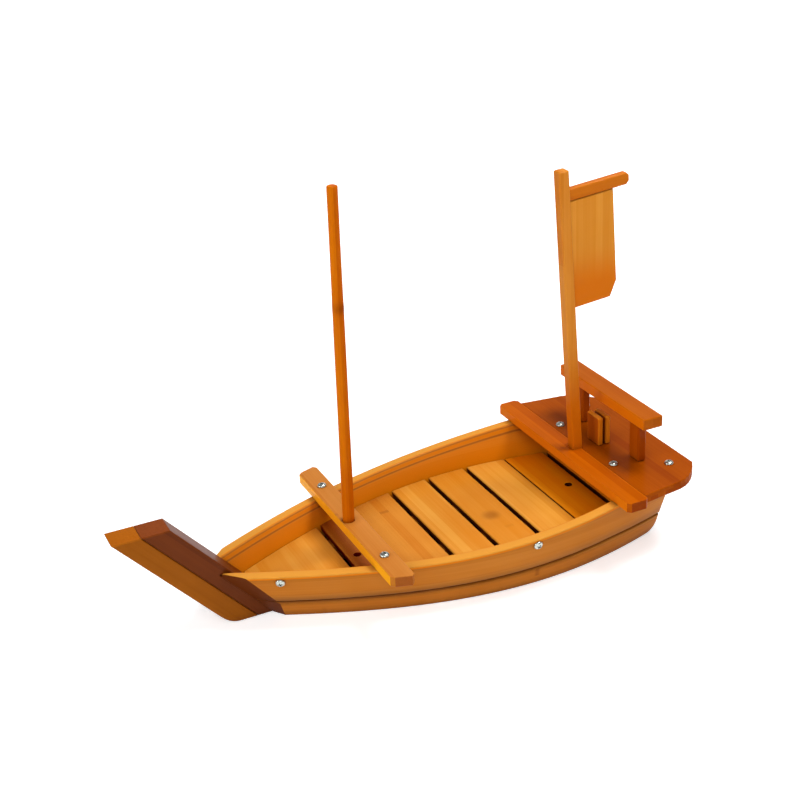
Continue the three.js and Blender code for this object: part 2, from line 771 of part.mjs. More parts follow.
// Screws: domed head and plain shank, the head's underside on z = 0 and the shank below it
function screw(length) {
  const dome = [];
  for (let i = 0; i <= domeSteps; i += 1) {
    const angle = (i / domeSteps) * (Math.PI / 2);
    dome.push([screwHeadRadius * Math.cos(angle), seat + (screwHeadHeight - seat) * Math.sin(angle)]);
  }
  dome[domeSteps][0] = 0;
  const shank = [[0, -length], [screwShankRadius, -length], [screwShankRadius, 0]];
  const profile = [...shank, [screwHeadRadius, 0], ...dome];
  const points = profile.map(([radius, z]) => new THREE.Vector2(radius, z));
  return new THREE.LatheGeometry(points, roundSegments).rotateX(Math.PI / 2);
}

const screws = group('screws');
const screwSides = [['port', 1], ['starboard', -1]];
for (const [sideName, side] of screwSides) {
  const thwartTop = foreThwartBottom + foreThwartThickness + seat;
  add(screws, `front_thwart_screw_${sideName}`, screw(deckScrewLength), polished(),
    [foreThwartX, side * thwartScrewOffset, thwartTop]);
  const deckTop = sternDeckTop + seat;
  add(screws, `stern_deck_front_screw_${sideName}`, screw(deckScrewLength), polished(),
    [deckFrontScrewX, side * deckFrontScrewOffset, deckTop]);
  add(screws, `stern_deck_back_screw_${sideName}`, screw(deckScrewLength), polished(),
    [deckBackScrewX, side * deckBackScrewOffset, deckTop]);
  for (const [where, x] of [['bow', sideScrewBowX], ['waist', sideScrewWaistX]]) {
    const { spot, outward } = sideScrewPlace(x);
    const place = spot.addScaledVector(outward, seat);
    const piece = add(screws, `${sideName}_side_screw_${where}`, screw(sideScrewLength), polished(),
      [place.x, side * place.y, place.z]);
    const facing = new THREE.Vector3(outward.x, side * outward.y, outward.z);
    piece.quaternion.setFromUnitVectors(new THREE.Vector3(0, 0, 1), facing);
  }
}

export default boat;
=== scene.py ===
# %% [markdown]
# A bamboo sushi boat.
#
# This lesson dresses a serving boat whose boards, joints and sizes come ready from a CAD model.
# The CAD boards keep their shape and only get a finish. What a flat-sided CAD solid can't show well,
# such as the bent planks, the round mast and the screw heads, is worked out again here as smooth surfaces.

# %% Load the boat
import math

import bpy
import numpy as np
from mathutils import Matrix, Vector


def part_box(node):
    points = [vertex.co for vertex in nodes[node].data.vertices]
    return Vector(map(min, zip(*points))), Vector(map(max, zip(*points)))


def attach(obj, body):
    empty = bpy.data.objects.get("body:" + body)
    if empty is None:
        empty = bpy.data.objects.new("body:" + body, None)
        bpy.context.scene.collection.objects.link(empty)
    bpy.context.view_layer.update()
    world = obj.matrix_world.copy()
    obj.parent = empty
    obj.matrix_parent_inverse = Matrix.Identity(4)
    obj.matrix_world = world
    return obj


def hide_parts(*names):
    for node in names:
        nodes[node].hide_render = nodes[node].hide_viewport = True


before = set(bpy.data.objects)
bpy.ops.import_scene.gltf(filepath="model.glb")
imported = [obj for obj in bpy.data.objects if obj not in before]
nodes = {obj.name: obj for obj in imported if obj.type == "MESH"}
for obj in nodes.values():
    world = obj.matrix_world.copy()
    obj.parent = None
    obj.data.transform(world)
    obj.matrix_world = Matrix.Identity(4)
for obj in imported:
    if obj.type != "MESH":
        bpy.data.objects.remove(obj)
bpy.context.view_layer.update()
MM = 0.001
print("boards and screws in the CAD model:", len(nodes))

# %% [markdown]
# The camera comes first, because every finish is judged through it.
#
# It could be placed by eye. Here its place, turn and lens were worked out from the corners of the thwarts,
# the deck and the stem, so that they land where the photograph has them.

# %% Camera
EYE = Vector((0.33493, 0.77299, 0.52831))
RIGHT = Vector((-0.90358, 0.42520, -0.05246))
UP = Vector((-0.22591, -0.36883, 0.90163))
BACK = Vector((0.36403, 0.82654, 0.42932))
LENS_MM, SENSOR_MM, NEAREST = 63.268, 36.0, 0.01


def make_camera():
    """A camera whose three axes are given: to the right of the picture, up the picture, and back to the viewer."""
    data = bpy.data.cameras.new("photo_camera")
    data.lens = LENS_MM
    data.sensor_width = SENSOR_MM
    data.sensor_fit = "HORIZONTAL"
    data.clip_start = NEAREST
    camera = bpy.data.objects.new("photo_camera", data)
    turn = Matrix((RIGHT, UP, BACK)).transposed().to_4x4()
    camera.matrix_world = Matrix.Translation(EYE) @ turn
    bpy.context.scene.collection.objects.link(camera)
    bpy.context.scene.camera = camera
    return camera


camera = make_camera()
print("camera at", [round(v, 3) for v in camera.matrix_world.translation])

# %% [markdown]
# The room, the floor and every finish below are built from the same few shader nodes, so a small helper wires them.
#
# Typing each node out would hide the idea of the finish. The helper takes a node's kind, its settings and what
# goes into its sockets: a number or colour is set on the socket itself, and another node's output is linked.

# %% Wiring helper
WHITE, BLACK = (1, 1, 1, 1), (0, 0, 0, 1)


class Wiring:
    """Nodes that are added to an emptied tree one by one."""

    def __init__(self, tree):
        self.tree = tree
        tree.nodes.clear()

    def add(self, kind, inputs=None, **settings):
        """Adds a node and returns it. The inputs are socket name or number, and a value or another output."""
        node = self.tree.nodes.new("ShaderNode" + kind)
        for key, value in settings.items():
            setattr(node, key, value)
        for key, value in (inputs or {}).items():
            socket = node.inputs[key]
            if isinstance(value, bpy.types.NodeSocket):
                self.tree.links.new(value, socket)
            else:
                socket.default_value = value
        return node

    def math(self, operation, *values, clamp=False):
        """One step of arithmetic on numbers or outputs."""
        return self.add("Math", dict(enumerate(values)), operation=operation, use_clamp=clamp).outputs[0]

    def rest(self, share):
        """What a share leaves of one."""
        return self.math("SUBTRACT", 1.0, share)

    def part(self, vector, axis):
        """One of a vector's three numbers."""
        return self.add("SeparateXYZ", {0: vector}).outputs[axis]

    def blend(self, share, first, second):
        """The second colour laid over the first by a share."""
        return self.add("Mix", {0: share, 6: first, 7: second}, data_type="RGBA").outputs[2]

    def ramp(self, value, low, high):
        """Nought at low, one at high, and an S-shaped slope between them."""
        limits = {"Value": value, "From Min": low, "From Max": high}
        return self.add("MapRange", limits, interpolation_type="SMOOTHSTEP").outputs[0]

    def noise(self, place, scale, detail):
        """A soft cloud of numbers between nought and one."""
        return self.add("TexNoise", {"Vector": place, "Scale": scale, "Detail": detail}).outputs["Fac"]

    def object_place(self):
        """The place on the piece, in metres."""
        return self.add("TexCoord").outputs["Object"]

    def seen_directly(self):
        """One where a ray comes from the camera, a mirror or glass, and nought where it carries plain light."""
        path = self.add("LightPath").outputs
        eye_or_mirror = self.math("MAXIMUM", path["Is Camera Ray"], path["Is Glossy Ray"])
        return self.math("MAXIMUM", eye_or_mirror, path["Is Transmission Ray"])


class Finish(Wiring):
    """A material whose nodes are added one by one."""

    def __init__(self, name):
        self.material = bpy.data.materials.new(name)
        self.material.use_nodes = True
        super().__init__(self.material.node_tree)

    def close(self, shader):
        """Leads the shader to the surface and hands the material over."""
        self.add("OutputMaterial", {"Surface": shader})
        return self.material


def linear(red, green, blue):
    """A colour written as on a screen, from 0 to 255, as the light values that Blender mixes.

    This is the usual screen curve: a straight line near black, and above it a power.
    """
    share = np.array([red, green, blue]) / 255
    light = np.where(share <= 0.04045, share / 12.92, ((share + 0.055) / 1.055) ** 2.4)
    return (*light.tolist(), 1.0)


print("a mid bamboo tone as light:", [round(v, 3) for v in linear(200, 120, 40)])

# %% [markdown]
# The studio is a dim room with a white backdrop low down all round, and four soft lamps.
#
# A single bright lamp would give hard shadows that hide the planks. Here the main lamp stands above the stern, so
# that shadows fall towards the bow. A second one ahead of the bow lights the front edges, a wide one fills the near
# side, and a weak one behind the boat puts a sheen on the varnish.
# The backdrop shows to the camera and to mirrors alone, so the boat isn't lit more to make the ground white.

# %% Light
AIM = Vector((0.0, 0.0, 0.05))
LAMPS = (  # name, place and size in metres, power in watts
    ("key_above_the_stern", (-0.72, 0.15, 1.5), 0.6, 18.5),
    ("light_ahead_of_the_bow", (1.7, 0.1, 0.75), 0.7, 10.5),
    ("fill_on_the_near_side", (0.55, 1.3, 1.2), 1.2, 12.5),
    ("sheen_behind_the_boat", (-0.75, -1.7, 0.95), 1.6, 4.0),
)
ROOM_TONE, ROOM_STRENGTH = (0.97, 0.98, 1, 1), 0.24
BACKDROP_ENDS, BACKDROP_FULL = 0.22, 0.12


def add_lamp(name, place, size, power):
    """A square lamp at a place, turned so that its face looks at the boat."""
    data = bpy.data.lights.new(name, "AREA")
    data.shape = "SQUARE"
    data.size = size
    data.energy = power
    lamp = bpy.data.objects.new(name, data)
    lamp.location = place
    lamp.rotation_euler = (AIM - Vector(place)).to_track_quat("-Z", "Y").to_euler()
    bpy.context.scene.collection.objects.link(lamp)


def make_room():
    """A dim tone all round, and white where the way a ray goes rises little enough and the ray sees directly."""
    world = bpy.data.worlds.new("studio")
    world.use_nodes = True
    made = Wiring(world.node_tree)
    backdrop = made.add("Background", {"Color": WHITE}).outputs[0]
    room = made.add("Background", {"Color": ROOM_TONE, "Strength": ROOM_STRENGTH}).outputs[0]
    rise = made.part(made.add("TexCoord").outputs["Generated"], "Z")
    limits = {"Value": rise, "From Min": BACKDROP_ENDS, "From Max": BACKDROP_FULL}
    shown = made.math("MULTIPLY", made.add("MapRange", limits).outputs[0], made.seen_directly())
    mixed = made.add("MixShader", {0: shown, 1: room, 2: backdrop}).outputs[0]
    made.add("OutputWorld", {"Surface": mixed})
    bpy.context.scene.world = world


for lamp_values in LAMPS:
    add_lamp(*lamp_values)
make_room()
bpy.context.scene.view_settings.view_transform = "Standard"

# %% [markdown]
# The floor is a wide, pale, slightly uneven sheet.
#
# It could be a plain white plane. A faint cloud in its tone keeps the shadow from looking cut out, and a glow that
# lights nothing lets it fade into the backdrop.

# %% Floor
FLOOR_HALF, FLOOR_CLOUD = 12.0, 3.0
FLOOR_TONES = (0.80, 0.80, 0.80, 1), (0.84, 0.84, 0.84, 1)
GLOW_NEAR, GLOW_GAIN = 0.52, 0.38
GLOW_STARTS, GLOW_FULL = 0.15, 1.1


def floor_finish():
    """A cloudy pale tone, and a glow that grows with the distance from the boat."""
    made = Finish("pale_floor")
    place = made.object_place()
    tone = made.blend(made.noise(place, FLOOR_CLOUD, 2.0), *FLOOR_TONES)
    matt = made.add("BsdfDiffuse", {"Color": tone}).outputs[0]
    away = made.add("VectorMath", {0: place}, operation="LENGTH").outputs["Value"]
    strength = made.math("MULTIPLY_ADD", made.ramp(away, GLOW_STARTS, GLOW_FULL), GLOW_GAIN, GLOW_NEAR)
    glow = made.add("Emission", {"Color": WHITE, "Strength": strength}).outputs[0]
    dark = made.add("Emission", {"Color": BLACK, "Strength": 0.0}).outputs[0]
    extra = made.add("MixShader", {0: made.seen_directly(), 1: dark, 2: glow}).outputs[0]
    return made.close(made.add("AddShader", {0: matt, 1: extra}).outputs[0])


def make_floor():
    """A flat square, its corners at plus and minus half its width on both axes."""
    mesh = bpy.data.meshes.new("floor")
    corners = FLOOR_HALF * np.array([[-1, -1, 0], [1, -1, 0], [1, 1, 0], [-1, 1, 0]], float)
    mesh.from_pydata(corners.tolist(), [], [(0, 1, 2, 3)])
    mesh.materials.append(floor_finish())
    floor = bpy.data.objects.new("floor", mesh)
    bpy.context.scene.collection.objects.link(floor)
    return floor


floor = make_floor()
print("floor:", tuple(round(v, 1) for v in floor.dimensions))

# %% [markdown]
# Carbonised bamboo board is glued up from narrow strips, stained by heat and varnished.
#
# A wood texture would show growth rings, which bamboo hasn't. What it has is strips of slightly different tone,
# straight fine fibres, and here and there the mark of a node, where the cane had a joint. All of that is worked
# out from three lengths: along the grain, across the board and into its thickness.

# %% Strips, fibres and nodes
QUARTER = math.radians(90)
ALONG_BOAT, ACROSS_BOAT, UPRIGHT = (0, 0, 0), (0, 0, -QUARTER), (0, QUARTER, 0)
STRIP_WIDTH, STRIP_DEPTH = 0.0068, 0.0052
FIBRE_STRETCH, STREAK_STRETCH, CLOUD_SCALE = (16, 760, 760), (5, 110, 110), 17.0
STRIP_SHARE, FIBRE_SHARE, STREAK_SHARE, CLOUD_SHARE = 0.34, 0.30, 0.38, 0.5
ALL_PALE, ALL_DEEP = 0.32, 1.12
NODE_SPACING, NODE_SHIFT = 0.31, 9.7
BAR_FULL, BAR_ENDS = 0.001, 0.009
NODES_FROM, NODES_FULL = 0.8, 0.95
KNOT_CORE, KNOT_STRENGTH = 0.15, 1.4


def grain_lengths(made, turn, attribute):
    """Three lengths on the board: from an attribute that follows a bent plank, or from turned Object coordinates."""
    if attribute:
        return made.add("Attribute", attribute_name=attribute).outputs["Vector"]
    return made.add("Mapping", {"Vector": made.object_place(), "Rotation": turn}, vector_type="POINT").outputs[0]


def strip_tones(made, lengths):
    """A number from 0 to 1 for each glued strip, and a second one that has nothing to do with the first."""
    row = made.math("FLOOR", made.math("DIVIDE", made.part(lengths, "Y"), STRIP_WIDTH))
    layer = made.math("FLOOR", made.math("DIVIDE", made.part(lengths, "Z"), STRIP_DEPTH))
    cell = made.add("CombineXYZ", {"X": row, "Y": layer}).outputs[0]
    noise = made.add("TexWhiteNoise", {"Vector": cell}, noise_dimensions="2D")
    second = made.add("SeparateColor", {0: noise.outputs["Color"]}).outputs["Blue"]
    return noise.outputs["Value"], second


def stretched_noise(made, lengths, stretch, detail):
    """A cloud drawn out along the grain: the three lengths are scaled unequally first."""
    return made.noise(made.add("Mapping", {"Vector": lengths, "Scale": stretch}).outputs[0], 1.0, detail)


def board_tone(made, lengths, strip, fibre, pale, deep):
    """Between pale and deep by a weighted sum of the strip's number, the fibres, wider streaks and a slow cloud."""
    streak = stretched_noise(made, lengths, STREAK_STRETCH, 2.0)
    cloud = made.noise(lengths, CLOUD_SCALE, 2.0)
    depth = made.math("MULTIPLY", strip, STRIP_SHARE)
    for number, share in ((fibre, FIBRE_SHARE), (streak, STREAK_SHARE), (cloud, CLOUD_SHARE)):
        depth = made.math("MULTIPLY_ADD", number, share, depth)
    return made.blend(made.ramp(depth, ALL_PALE, ALL_DEEP), linear(*pale), linear(*deep))


def node_marks(made, along, shift, chosen):
    """A soft bar across some strips: how near the place is to the middle of a spacing, shifted strip by strip."""
    count = made.math("ADD", made.math("DIVIDE", along, NODE_SPACING), made.math("MULTIPLY", shift, NODE_SHIFT))
    away = made.math("ABSOLUTE", made.math("SUBTRACT", made.math("FRACT", count), 0.5))
    bar = made.rest(made.ramp(away, BAR_FULL, BAR_ENDS))
    return made.math("MULTIPLY", bar, made.ramp(chosen, NODES_FROM, NODES_FULL))


def knot_mark(made, spot, radius):
    """A soft round spot: full at its core and fading with the distance, to nought at the radius."""
    away = made.add("VectorMath", {0: made.object_place(), 1: spot}, operation="DISTANCE").outputs["Value"]
    return made.math("MULTIPLY", made.rest(made.ramp(away, KNOT_CORE * radius, radius)), KNOT_STRENGTH)


print("ways the grain can run:", ALONG_BOAT, ACROSS_BOAT, UPRIGHT)

# %% [markdown]
# Over the wood lie the marks of making and use: edges that are rubbed lighter, with a painted highlight on them,
# sawn ends, and a thin varnish.
#
# They could be painted on by hand. Here they are found from the shape itself: from how the normal of a rounded edge
# differs from the face's own, and from which way a face looks along the grain.

# %% Edges, ends and varnish
RUBBED_RADIUS, RUBBED_SHARE, RUBBED_GAIN, RUBBED_LIFT = 0.0013, 0.5, 1.16, 8
RUBBED_FULL, RUBBED_ENDS = 0.74, 0.97
END_STARTS, END_FULL = 0.5, 0.9
CORNER_RAYS, EASED_RAYS, EASED_RADIUS = 6, 4, 0.0007
FELT_STRENGTH, FELT_HEIGHT = 0.10, 0.0003
WAVE_SCALE, WAVE_STRENGTH, WAVE_HEIGHT = 60.0, 0.06, 0.002
ROUGH_LEAST, ROUGH_GAIN = 0.34, 0.18
COAT_ROUGHNESS, MIRROR_SHARE = 0.13, 0.4


def rubbed_and_highlit_edges(made, colour, normal, pale):
    """A lighter tone along edges, rubbed wear and painted highlight, where a rounded edge's normal turns away from
    the face's own.
    """
    rounded = made.add("Bevel", {"Radius": RUBBED_RADIUS}, samples=CORNER_RAYS).outputs[0]
    alike = made.add("VectorMath", {0: normal, 1: rounded}, operation="DOT_PRODUCT").outputs["Value"]
    share = made.math("MULTIPLY", made.rest(made.ramp(alike, RUBBED_FULL, RUBBED_ENDS)), RUBBED_SHARE)
    lighter = np.minimum(np.multiply(pale, RUBBED_GAIN) + RUBBED_LIFT, 255)
    return made.blend(share, colour, linear(*lighter))


def end_share(made, normal, turn, attribute):
    """One on end grain: from an attribute on a bent plank, or where a flat board's face looks along its grain."""
    if attribute:
        return made.add("Attribute", attribute_name="end_grain").outputs["Fac"]
    turned = made.add("Mapping", {"Vector": normal, "Rotation": turn}, vector_type="POINT").outputs[0]
    return made.ramp(made.math("ABSOLUTE", made.part(turned, "X")), END_STARTS, END_FULL)


def bumped(made, pattern, strength, height, normal):
    """The normal tilted by the slope of a pattern, as if the pattern were so high."""
    inputs = {"Strength": strength, "Distance": height, "Height": pattern, "Normal": normal}
    return made.add("Bump", inputs).outputs[0]


def varnished(made, colour, lengths, fibre, coat, gloss):
    """The tone under a clear coat, with eased edges, fibres that can be felt and a slow wave in the surface."""
    eased = made.add("Bevel", {"Radius": EASED_RADIUS}, samples=EASED_RAYS).outputs[0]
    felt = bumped(made, fibre, FELT_STRENGTH, FELT_HEIGHT, eased)
    soft = bumped(made, made.noise(lengths, WAVE_SCALE, 1.0), WAVE_STRENGTH, WAVE_HEIGHT, felt)
    rough = made.math("MULTIPLY_ADD", fibre, ROUGH_GAIN, ROUGH_LEAST)
    return made.add("BsdfPrincipled", {
        "Base Color": colour, "Roughness": rough, "Normal": soft, "Specular IOR Level": MIRROR_SHARE * gloss,
        "Coat Weight": coat, "Coat Roughness": COAT_ROUGHNESS, "Coat Normal": soft,
    }).outputs[0]


print("a rubbed edge lies within", RUBBED_RADIUS / MM, "mm of a corner")

# %% [markdown]
# The whole finish lays these over each other: wood, marks, edges, painted light and shade on some faces,
# painted shade in corners, varnish.
#
# Every finish could be wired by itself. One function with a few options keeps them alike, so the boat looks sawn
# from one kind of board. Painted shade goes where an ambient occlusion node finds that corners close in.

# %% Bamboo finish
SIDEWAYS, UPWARDS = 0.4, 0.8
BOW_FACE_STARTS, BOW_FACE_FULL = 0.6, 0.9
MARK_SHARE, GROOVE_SHARE, INNER_LIGHT_GAIN, PORES = 0.3, 0.75, 1.6, 0.4
BARE_STARTS, BARE_FULL = -0.6, -0.78


def bamboo_finish(name, pale, deep, stain_and_shade, turn=ALONG_BOAT, attribute="", knot=None, groove="", painted_inner_light=None, bare_and_sheen=None,
                  ends=None, side_face_shade=None, painted_bow_light_and_shade=None, foot=None, shade_reach=0.006, shade_strength=0.62, gloss=0.08):
    """Strips between a pale and a deep tone, fibres, node marks, lighter edges, painted shade in corners and a clear
    coat.

    Two options say how far from a corner the painted shade still shows, and how strongly. The other tones are for
    some boards only: ends for end grain, which on the stem is painted light on its top ends; a tone for faces that
    look sideways, such as the walls of a slot or a hole, which is painted shade; a tone for a face to the bow,
    painted light on the thwarts and the bar and painted shade on the uprights; and foot for the lower part, with the
    heights where it starts and is full, which on the mast and the sail is a deeper foot under a painted sheen.
    On a bent plank the groove attribute darkens where it is above nought: at the groove, and as painted shade under
    the rim and low on the inside. Below nought it shows a stronger orange, painted light on the inside, and far below
    a paler rim, rubbed down and with a painted sheen, and the sawn ends soak up the coat.
    """
    made = Finish(name)
    lengths = grain_lengths(made, turn, attribute)
    strip, other = strip_tones(made, lengths)
    fibre = stretched_noise(made, lengths, FIBRE_STRETCH, 3.0)
    colour = board_tone(made, lengths, strip, fibre, pale, deep)
    marks = node_marks(made, made.part(lengths, "X"), other, strip)
    if knot:
        marks = made.math("MAXIMUM", marks, knot_mark(made, *knot))
    colour = made.blend(made.math("MULTIPLY", marks, MARK_SHARE, clamp=True), colour, linear(*stain_and_shade))
    normal = made.add("NewGeometry").outputs["Normal"]
    # Lighter edges: partly rubbed wear, partly a painted highlight.
    colour = rubbed_and_highlit_edges(made, colour, normal, pale)
    # Painted shade: faces that look sideways, such as the walls of slots and holes, take a near-black tone.
    if side_face_shade:
        sideways = made.rest(made.ramp(made.part(normal, "Z"), SIDEWAYS, UPWARDS))
        colour = made.blend(sideways, colour, linear(*side_face_shade))
    # Painted light and shade on faces that look to the bow: lighter on the thwarts and the bar, darker on the
    # uprights.
    if painted_bow_light_and_shade:
        forward = made.ramp(made.part(normal, "X"), BOW_FACE_STARTS, BOW_FACE_FULL)
        colour = made.blend(forward, colour, linear(*painted_bow_light_and_shade))
    # Where it is used, on the mast and the sail, the deeper foot under a paler top is painted sheen.
    if foot:
        tone, starts, full = foot
        colour = made.blend(made.ramp(made.part(made.object_place(), "Z"), starts, full), colour, linear(*tone))
    # Above nought the groove attribute darkens the groove and paints shade under the rim and low on the inside.
    if groove:
        line = made.add("Attribute", attribute_name=groove).outputs["Fac"]
        colour = made.blend(made.math("MULTIPLY", line, GROOVE_SHARE, clamp=True), colour, linear(*stain_and_shade))
    # Below nought: painted light, a stronger orange on the inside, and far below a paler rim, rubbed down and with a
    # painted sheen.
    if painted_inner_light:
        colour = made.blend(made.math("MULTIPLY", line, -INNER_LIGHT_GAIN, clamp=True), colour, linear(*painted_inner_light))
        colour = made.blend(made.ramp(line, BARE_STARTS, BARE_FULL), colour, linear(*bare_and_sheen))
    coat = gloss
    if ends:
        sawn = end_share(made, normal, turn, attribute)
        pores = made.math("MULTIPLY", fibre, PORES)
        colour = made.blend(sawn, colour, made.blend(pores, linear(*ends), linear(*stain_and_shade)))
        if attribute:
            coat = made.math("MULTIPLY", made.rest(sawn), gloss)
    # Painted shade: the colour darkens towards the dark tone where ambient occlusion finds that corners close in.
    corner = made.add("AmbientOcclusion", {"Distance": shade_reach}, samples=CORNER_RAYS).outputs["AO"]
    painted_corner_shade = made.math("MULTIPLY", made.rest(corner), shade_strength, clamp=True)
    colour = made.blend(painted_corner_shade, colour, linear(*stain_and_shade))
    return made.close(varnished(made, colour, lengths, fibre, coat, gloss))


BROWN_STAIN_AND_SHADE, RED_STAIN_AND_SHADE, SLOT_SHADE = (92, 36, 6), (74, 24, 0), (30, 12, 3)
inner_finish = bamboo_finish("inner_boards", (206, 122, 36), (176, 86, 8), BROWN_STAIN_AND_SHADE, ALONG_BOAT)
# Painted shade: the bottom board, seen only through the slots, is nearly black.
painted_shade_bottom = bamboo_finish("bottom", (40, 18, 6), (24, 10, 3), (12, 5, 1), ALONG_BOAT)
print("nodes in a plain finish:", len(inner_finish.node_tree.nodes))

# %% [markdown]
# Each board takes a tone from the photograph and a direction of grain from how it would be sawn.
#
# One finish for the whole boat would look cast in one piece. The deck and the thwarts lie across the boat, so their
# grain does too. The slats are pale, with one knot, and the walls of their slots are painted nearly black, as shade.

# %% Finishes of the deck and the thwarts
SLAT_KNOT = ((-0.0674, 0.0074, 0.024), 0.009)  # place and radius in metres

slat_finish = bamboo_finish("pale_slats", (232, 162, 64), (214, 128, 24), (112, 44, 0), ACROSS_BOAT,
                            knot=SLAT_KNOT, side_face_shade=SLOT_SHADE, shade_reach=0.02)
# Painted light: the two slats by the after thwart get a stronger, brighter orange to lift them in the thwart's shade.
stern_slats = bamboo_finish("stern_slats", (254, 150, 16), (238, 120, 0), (108, 40, 0), ACROSS_BOAT,
                            side_face_shade=SLOT_SHADE, shade_reach=0.02)
# Painted shadow: the board under the front thwart gets a deep red tone and a strong, wide corner darkening for the
# thwart's shadow.
painted_shadow_board = bamboo_finish("board_under_thwart", (228, 150, 52), (208, 116, 16), (104, 12, 0), ACROSS_BOAT,
                             side_face_shade=SLOT_SHADE, shade_reach=0.035, shade_strength=1.4)
# The thwarts' lighter bow faces are painted light.
thwart_finish = bamboo_finish("front_thwart", (207, 132, 54), (187, 106, 28), BROWN_STAIN_AND_SHADE, ACROSS_BOAT,
                              ends=(172, 92, 28), painted_bow_light_and_shade=(255, 172, 26))
after_thwart = bamboo_finish("after_thwart", (197, 96, 4), (170, 72, 0), RED_STAIN_AND_SHADE, ACROSS_BOAT,
                             ends=(160, 66, 6), painted_bow_light_and_shade=(224, 118, 12), gloss=0.03)
print("materials so far:", len(bpy.data.materials))

# %% [markdown]
# The stern is redder, the masts and posts stand upright, and the stem leans.
#
# They could share the deck's tones. In the photograph the stem's after board is nearly walnut, and the square mast
# and the sail are a deeper orange at their feet under a paler, sheened top, so each of them gets tones of its own,
# and the two feet a soft change with height, which is a painted sheen.

# %% Finishes of the stern, the stem and the masts
STEM_ANGLE = math.radians(49.2)
STEM_TURN = (0, STEM_ANGLE, 0)
# The paler tops above these feet are a painted sheen.
MAST_FOOT_UNDER_SHEEN = ((206, 106, 8), 0.135, 0.085)  # tone, and the heights in metres where it starts and is full
SAIL_FOOT_UNDER_SHEEN = ((216, 112, 0), 0.21, 0.178)

# The stern's wide corner darkening paints the shadow under the gantry bar.
stern_finish = bamboo_finish("red_stern", (176, 82, 2), (148, 60, 0), RED_STAIN_AND_SHADE, ACROSS_BOAT,
                             shade_reach=0.045, gloss=0.03)
# The bar's lighter bow face is painted light.
bar_finish = bamboo_finish("gantry_bar", (188, 96, 8), (166, 76, 0), RED_STAIN_AND_SHADE, ACROSS_BOAT,
                           painted_bow_light_and_shade=(222, 114, 4), gloss=0.05)
# Painted shade: the posts take darker tones, for the gantry bar's shadow on them.
post_finish = bamboo_finish("gantry_posts", (182, 84, 4), (148, 56, 0), RED_STAIN_AND_SHADE, UPRIGHT)
# The uprights' darker bow faces are painted shade.
upright_finish = bamboo_finish("small_uprights", (232, 148, 40), (206, 110, 10), RED_STAIN_AND_SHADE, UPRIGHT,
                               painted_bow_light_and_shade=(172, 82, 8))
mast_finish = bamboo_finish("square_mast", (224, 146, 54), (202, 112, 18), BROWN_STAIN_AND_SHADE, UPRIGHT,
                            foot=MAST_FOOT_UNDER_SHEEN, gloss=0.05)
sail_finish = bamboo_finish("sail", (234, 160, 62), (214, 130, 30), BROWN_STAIN_AND_SHADE, UPRIGHT,
                            foot=SAIL_FOOT_UNDER_SHEEN, shade_reach=0.003)
yard_finish = bamboo_finish("yard", (216, 122, 16), (192, 94, 2), BROWN_STAIN_AND_SHADE, ALONG_BOAT)
# Painted light: the stem's lighter end tones stand for the light on its top ends.
stem_pale = bamboo_finish("stem_front", (166, 94, 22), (142, 74, 8), BROWN_STAIN_AND_SHADE, STEM_TURN,
                          ends=(194, 104, 0), gloss=0.04)
stem_dark = bamboo_finish("stem_back", (118, 54, 12), (94, 40, 6), (40, 14, 2), STEM_TURN,
                          ends=(156, 70, 0), gloss=0.1)
print("materials so far:", len(bpy.data.materials))

# %% [markdown]
# Now the boards are dressed. A CAD board is never moved or changed: only its material slot is filled.
#
# Each board could be named in a line of its own. A table does it, and what isn't in the table is a deck board or an
# inner one.

# %% Dress the boards
FINISH_OF = {
    "deck_front_board": painted_shadow_board, "deck_slat_4": stern_slats, "deck_slat_aft": stern_slats,
    "bow_panel": slat_finish, "front_thwart": thwart_finish, "aft_thwart": after_thwart, "stern_deck": stern_finish,
    "gantry_bar": bar_finish, "gantry_post_port": post_finish, "gantry_post_starboard": post_finish,
    "stern_upright_front": upright_finish, "stern_upright_back": upright_finish, "rear_mast": mast_finish,
    "sail_board": sail_finish, "sail_yard": yard_finish, "stem_front_strip": stem_pale,
    "stem_back_board": stem_dark, "transom": stern_finish, "stern_deck_beam": stern_finish,
    "stern_deck_cleat": stern_finish, "bottom_board": painted_shade_bottom,
}
for name, node in nodes.items():
    finish = FINISH_OF.get(name, slat_finish if name.startswith("deck_") else inner_finish)
    node.data.materials.clear()
    node.data.materials.append(finish)
print("finished boards:", len(nodes))

# %% [markdown]
# The sides are planks bent round the boat. Bending makes a ruled surface: straight from the foot of the side to
# its rim, and curved along the boat.
#
# A solid could be bent with a lattice. Two curves in plan say the same thing exactly, one for the foot and one
# for the rim, and every point of the side lies on a straight line between them.

# %% The bent side as a surface
STERN_X, RIM_FORE, RIM_AFT = -177.0, 39.7, 48.2
SHEER_START, SHEER_END = 19.9, -127.8
STEM_TIP_X, STEM_TOP, STEM_HALF = 200.0, 81.0, 9.5
STEM_STRIP, STEM_BOARD, STEM_GAP = 19.2, 19.1, 0.3
STEM_RUN = 1 / math.tan(STEM_ANGLE)
PLANK_LAP, PLANK_END = 8.5, 15.3
RIM_PULLS, FOOT_PULLS = (67.0, (102, 91.0), (130.7, 84.7)), (48.0, (94, 79.6), (109.1, 70.7))
SMALL_STEP = 0.002


def stem_after_face(z):
    """The stem's leaning after face: aft of the tip by both boards and by the drop from the top times its run."""
    return STEM_TIP_X - STEM_STRIP - STEM_BOARD - (STEM_TOP - z) * STEM_RUN


